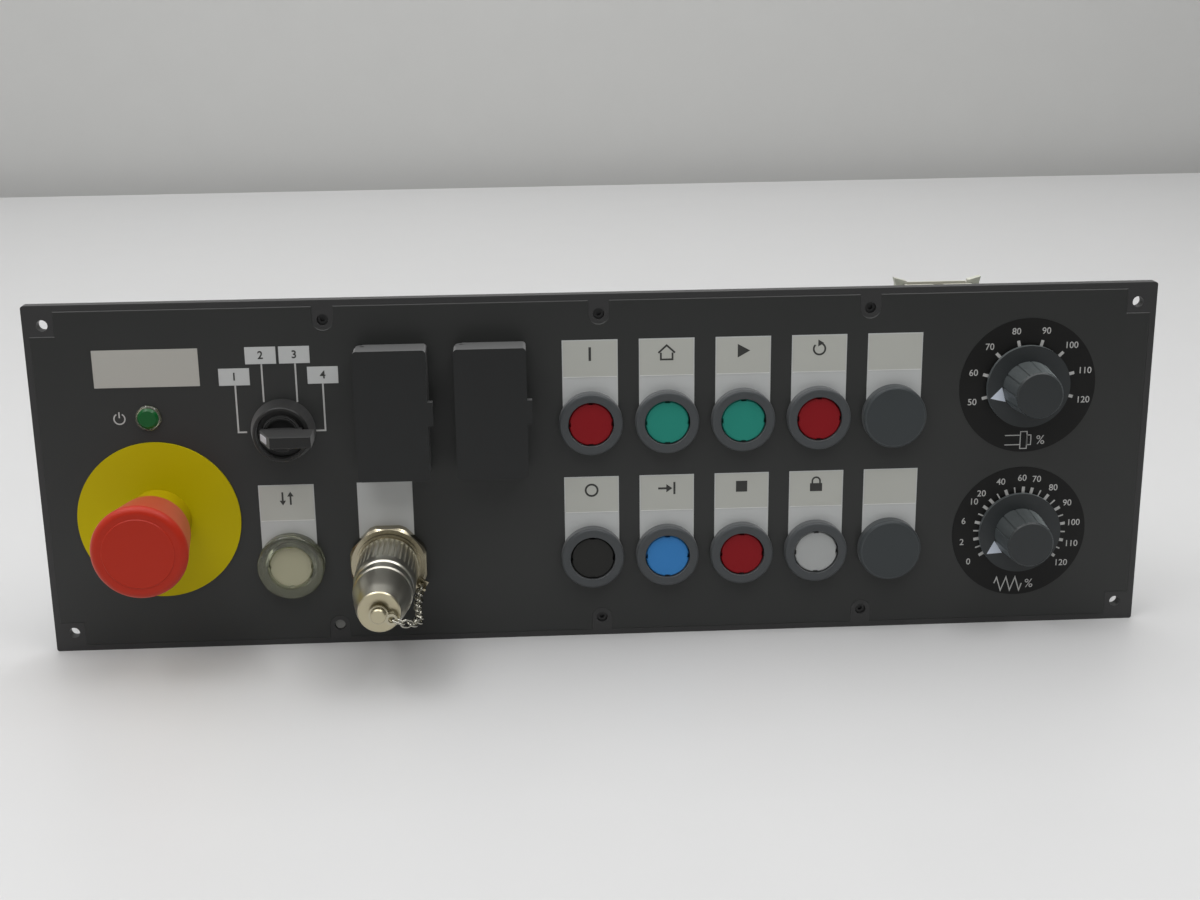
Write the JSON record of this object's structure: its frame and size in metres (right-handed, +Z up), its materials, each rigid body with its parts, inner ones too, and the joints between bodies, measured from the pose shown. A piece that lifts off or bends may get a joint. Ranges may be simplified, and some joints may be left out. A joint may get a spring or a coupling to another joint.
{
  "type": "pushbutton operator panel",
  "caption": "Rack-width machine operator panel with emergency stop, selector, lit pushbuttons, hinged port covers, a capped connector on a chain and override dials.",
  "frame": {"origin": "centre of the front plate's rear face, in the middle of the four corner holes", "axes": "+X to the right seen from the front, +Z up, the front faces -Y"},
  "size_m": [0.483, 0.1149, 0.155],
  "materials": {
    "plate": "matt black anodised",
    "film": "fine matt print film",
    "black_steel": "black oxide",
    "rail": "zinc plated",
    "board": "solder mask",
    "bright_steel": "bright",
    "label": "printed white",
    "name_plate": "white label",
    "tape": "label tape",
    "scale": "black print",
    "black_plastic": "moulded",
    "element": "moulded",
    "bezel": "satin grey",
    "plug": "satin grey",
    "clear_ring": "clear",
    "clear_lens": "milky",
    "red_lens": "satin",
    "green_lens": "satin",
    "black_lens": "satin",
    "blue_lens": "satin",
    "white_lens": "satin",
    "lamp_green": "glossy",
    "yellow": "satin",
    "red": "satin",
    "selector": "satin black",
    "marker": "white",
    "cover": "fine texture",
    "socket": "tinned",
    "jack": "moulded",
    "nickel": "nickel plated",
    "knob": "satin",
    "header": "moulded grey",
    "contact": "gold plated"
  },
  "bodies": {
    "panel": {"blanking_plugs": "plug", "board_screws": "bright_steel", "bottom_rail": "rail", "button_bezels": "bezel", "cap_chain": "nickel", "cap_swivel": "nickel", "chain_ring": "nickel", "circuit_board": "board", "clear_bezel": "clear_ring", "connector_nut": "nickel", "connector_receptacle": "nickel", "dial_scales": "scale", "dsub_socket": "socket", "edge_screws": "black_steel", "estop_collar": "yellow", "estop_contact_block": "element", "estop_disc": "yellow", "front_film": "film", "front_plate": "plate", "header_pins": "contact", "lamp_lens": "lamp_green", "lamp_ring": "clear_ring", "left_port_frame": "cover", "legend_fields": "label", "legend_tapes": "tape", "name_plate": "name_plate", "network_socket": "jack", "port_hinge_pins": "bright_steel", "ribbon_header": "header", "right_port_frame": "cover", "ring_nuts": "black_plastic", "rotary_nuts": "bright_steel", "rotary_switches": "black_plastic", "selector_bezel": "selector", "selector_tags": "label", "serial_bus_socket": "socket", "switch_elements": "element", "top_rail": "rail"},
    "red_on_button": {"red_on_lens": "red_lens"},
    "green_home_button": {"green_home_lens": "green_lens"},
    "green_start_button": {"green_start_lens": "green_lens"},
    "red_reset_button": {"red_reset_lens": "red_lens"},
    "black_off_button": {"black_off_lens": "black_lens"},
    "blue_cycle_button": {"blue_cycle_lens": "blue_lens"},
    "red_stop_button": {"red_stop_lens": "red_lens"},
    "white_door_button": {"white_door_lens": "white_lens"},
    "clear_button": {"clear_lens": "clear_lens"},
    "estop_slide": {"estop_stem": "black_plastic"},
    "estop_mushroom": {"estop_head": "red"},
    "selector": {"selector_knob": "selector", "selector_marker": "marker"},
    "left_cover": {"left_port_cover": "cover"},
    "right_cover": {"right_port_cover": "cover"},
    "cap": {"connector_cap": "nickel"},
    "spindle_override": {"spindle_knob": "knob", "spindle_shaft": "bright_steel"},
    "feed_override": {"feed_knob": "knob", "feed_shaft": "bright_steel"},
    "left_ejector": {"left_latch": "header"},
    "right_ejector": {"right_latch": "header"}
  },
  "joints": [
    {"name": "red_on_button_press", "type": "slide", "parent": "panel", "child": "red_on_button", "axis": [0, 1, 0], "range_m": [0, 0.002], "stiffness_N_per_m": 600},
    {"name": "green_home_button_press", "type": "slide", "parent": "panel", "child": "green_home_button", "axis": [0, 1, 0], "range_m": [0, 0.002], "stiffness_N_per_m": 600},
    {"name": "green_start_button_press", "type": "slide", "parent": "panel", "child": "green_start_button", "axis": [0, 1, 0], "range_m": [0, 0.002], "stiffness_N_per_m": 600},
    {"name": "red_reset_button_press", "type": "slide", "parent": "panel", "child": "red_reset_button", "axis": [0, 1, 0], "range_m": [0, 0.002], "stiffness_N_per_m": 600},
    {"name": "black_off_button_press", "type": "slide", "parent": "panel", "child": "black_off_button", "axis": [0, 1, 0], "range_m": [0, 0.002], "stiffness_N_per_m": 600},
    {"name": "blue_cycle_button_press", "type": "slide", "parent": "panel", "child": "blue_cycle_button", "axis": [0, 1, 0], "range_m": [0, 0.002], "stiffness_N_per_m": 600},
    {"name": "red_stop_button_press", "type": "slide", "parent": "panel", "child": "red_stop_button", "axis": [0, 1, 0], "range_m": [0, 0.002], "stiffness_N_per_m": 600},
    {"name": "white_door_button_press", "type": "slide", "parent": "panel", "child": "white_door_button", "axis": [0, 1, 0], "range_m": [0, 0.002], "stiffness_N_per_m": 600},
    {"name": "clear_button_press", "type": "slide", "parent": "panel", "child": "clear_button", "axis": [0, 1, 0], "range_m": [0, 0.002], "stiffness_N_per_m": 600},
    {"name": "estop_press", "type": "slide", "parent": "panel", "child": "estop_slide", "axis": [0, 1, 0], "range_m": [0, 0.004]},
    {"name": "estop_twist", "type": "hinge", "parent": "estop_slide", "child": "estop_mushroom", "pos_m": [-0.1916, 0, -0.0176], "axis": [0, 1, 0], "range_deg": [0, 45], "stiffness_Nm_per_rad": 0.2},
    {"name": "selector_turn", "type": "hinge", "parent": "panel", "child": "selector", "pos_m": [-0.136, 0, 0.0214], "axis": [0, 1, 0], "range_deg": [0, 180]},
    {"name": "left_cover_hinge", "type": "hinge", "parent": "panel", "child": "left_cover", "pos_m": [-0.10035, -0.00905, 0.0295], "axis": [0, 0, -1], "range_deg": [0, 90]},
    {"name": "right_cover_hinge", "type": "hinge", "parent": "panel", "child": "right_cover", "pos_m": [-0.05835, -0.00905, 0.0295], "axis": [0, 0, -1], "range_deg": [0, 90]},
    {"name": "cap_turn", "type": "hinge", "parent": "panel", "child": "cap", "pos_m": [-0.0935, 0, -0.0395], "axis": [0, -1, 0], "range_deg": [0, 90]},
    {"name": "spindle_turn", "type": "hinge", "parent": "panel", "child": "spindle_override", "pos_m": [0.1868, 0, 0.033], "axis": [0, 1, 0], "range_deg": [0, 210]},
    {"name": "feed_turn", "type": "hinge", "parent": "panel", "child": "feed_override", "pos_m": [0.1868, 0, -0.034], "axis": [0, 1, 0], "range_deg": [0, 247.5]},
    {"name": "left_ejector_swing", "type": "hinge", "parent": "panel", "child": "left_ejector", "pos_m": [0.1371, 0.032, 0.0635], "axis": [0, -1, 0], "range_deg": [0, 35]},
    {"name": "right_ejector_swing", "type": "hinge", "parent": "panel", "child": "right_ejector", "pos_m": [0.1715, 0.032, 0.0635], "axis": [0, 1, 0], "range_deg": [0, 35]}
  ]
}
